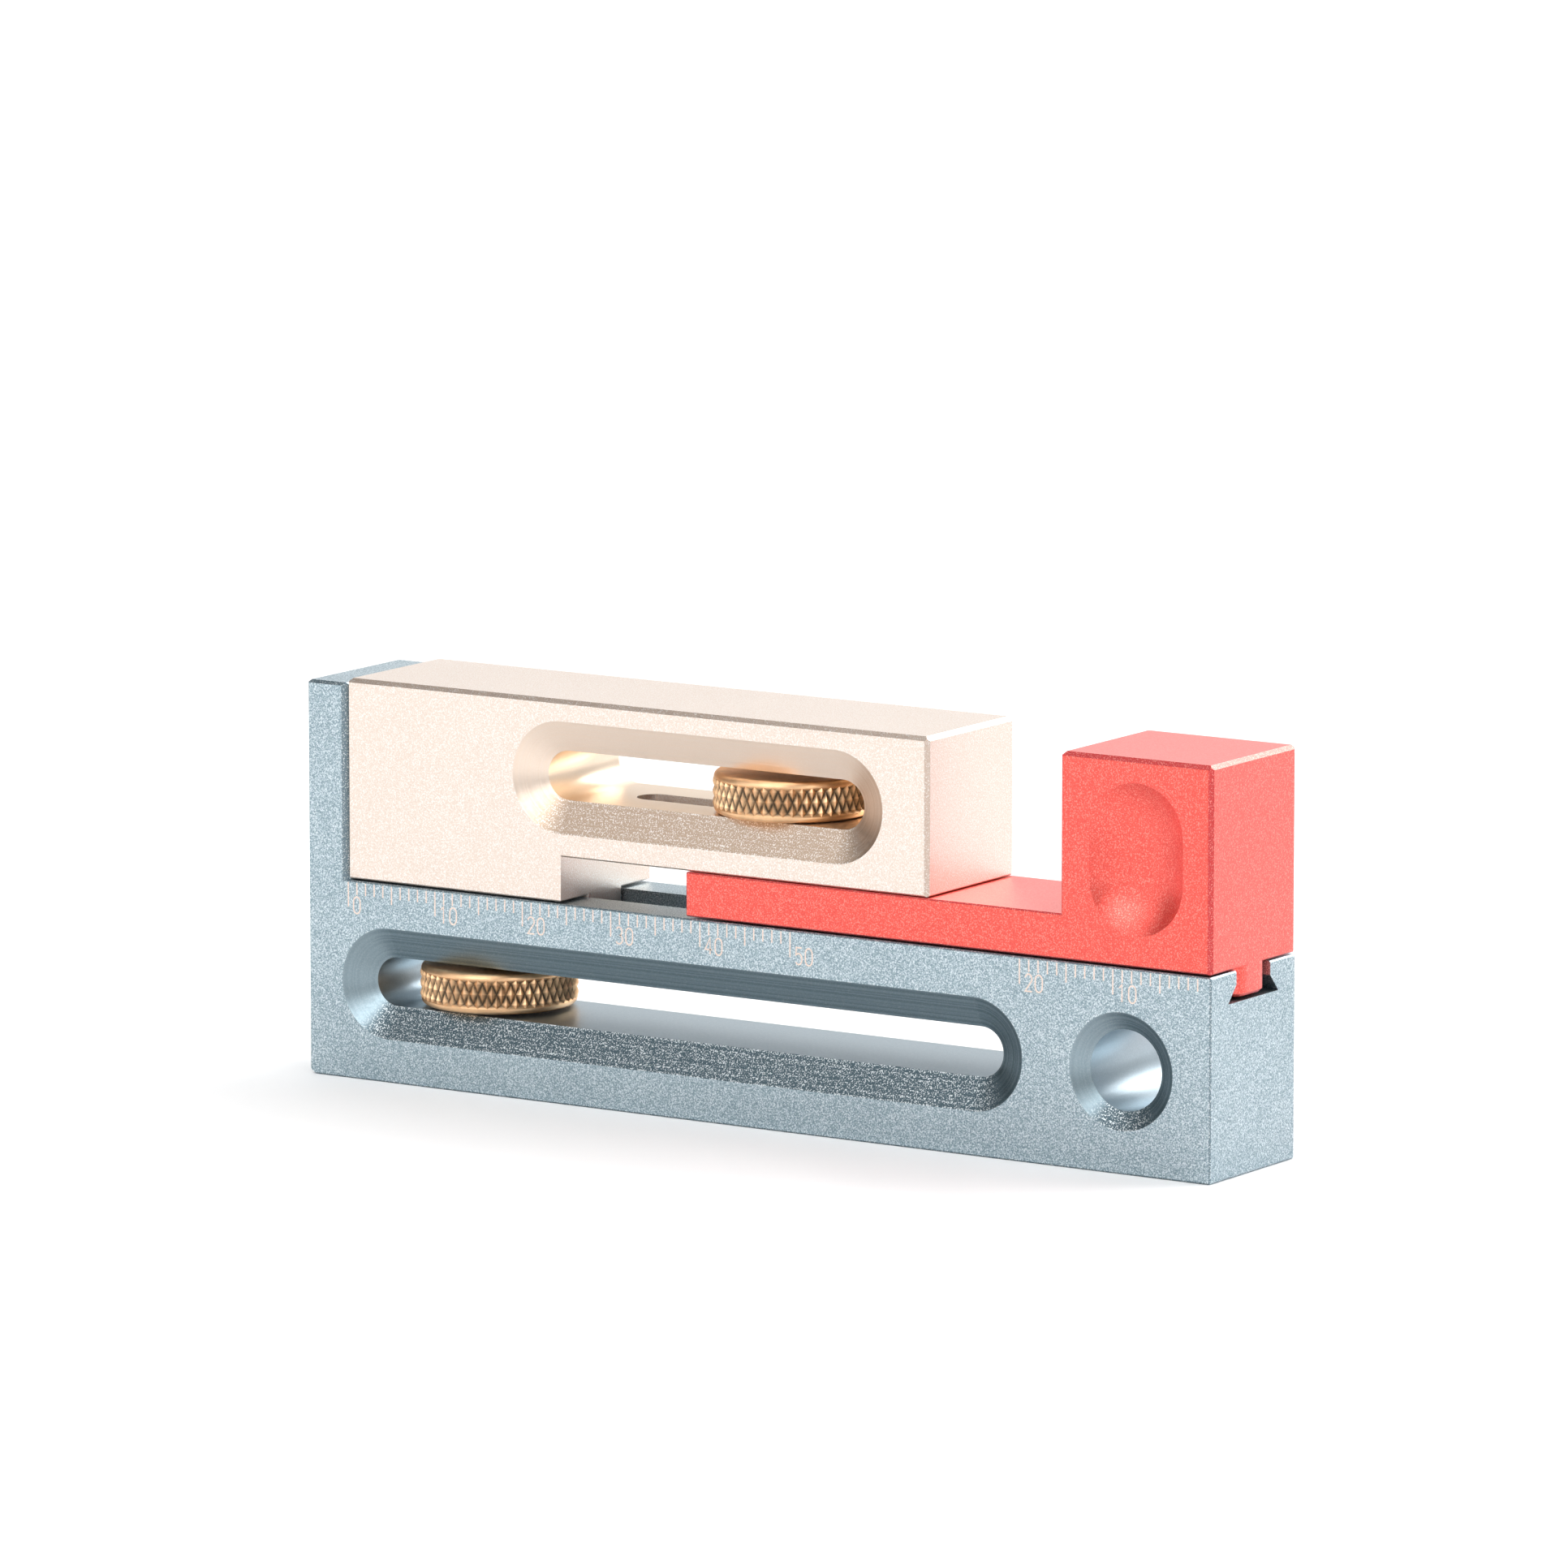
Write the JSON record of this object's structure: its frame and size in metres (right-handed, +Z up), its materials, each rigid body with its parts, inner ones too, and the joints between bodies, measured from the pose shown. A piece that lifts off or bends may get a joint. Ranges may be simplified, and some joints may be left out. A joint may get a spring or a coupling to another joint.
{
  "type": "kerf and tenon setting gauge",
  "caption": "Pocket setting gauge for saw cuts: a slotted metal bar with an end stop, a sliding gap block and a kerf block locked by knurled thumb nuts.",
  "frame": {"origin": "under the middle of the bar, on the face that it stands on", "axes": "+X along the bar from the end stop to the free end, +Y from the scale's face to the back, +Z up"},
  "size_m": [0.1, 0.015, 0.0385],
  "materials": {
    "base_anodised": "bead-blasted, blue-grey anodised",
    "gap_anodised": "bead-blasted, champagne anodised",
    "kerf_anodised": "bead-blasted, red anodised",
    "nut_brass": "diamond-knurled, aged in the grooves",
    "stud_steel": "dark plated steel"
  },
  "bodies": {
    "base": {"base": "base_anodised"},
    "gap_slider": {"gap_slider": "gap_anodised", "gap_lock_stud": "stud_steel"},
    "kerf_slider": {"kerf_slider": "kerf_anodised", "kerf_lock_stud": "stud_steel"},
    "gap_nut": {"gap_lock_nut": "nut_brass"},
    "kerf_nut": {"kerf_lock_nut": "nut_brass"}
  },
  "joints": [
    {"name": "gap_slide", "type": "slide", "parent": "base", "child": "gap_slider", "axis": [1, 0, 0], "range_m": [0, 0.051]},
    {"name": "kerf_slide", "type": "slide", "parent": "gap_slider", "child": "kerf_slider", "axis": [1, 0, 0], "range_m": [-0.0137, 0.0025]},
    {"name": "gap_nut_turn", "type": "hinge", "parent": "gap_slider", "child": "gap_nut", "pos_m": [-0.03322, 0, 0.0094], "axis": [0, 0, 1], "range_deg": [-216, 360]},
    {"name": "kerf_nut_turn", "type": "hinge", "parent": "kerf_slider", "child": "kerf_nut", "pos_m": [0.00007, 0, 0.0308], "axis": [0, 0, 1], "range_deg": [0, 540]}
  ]
}
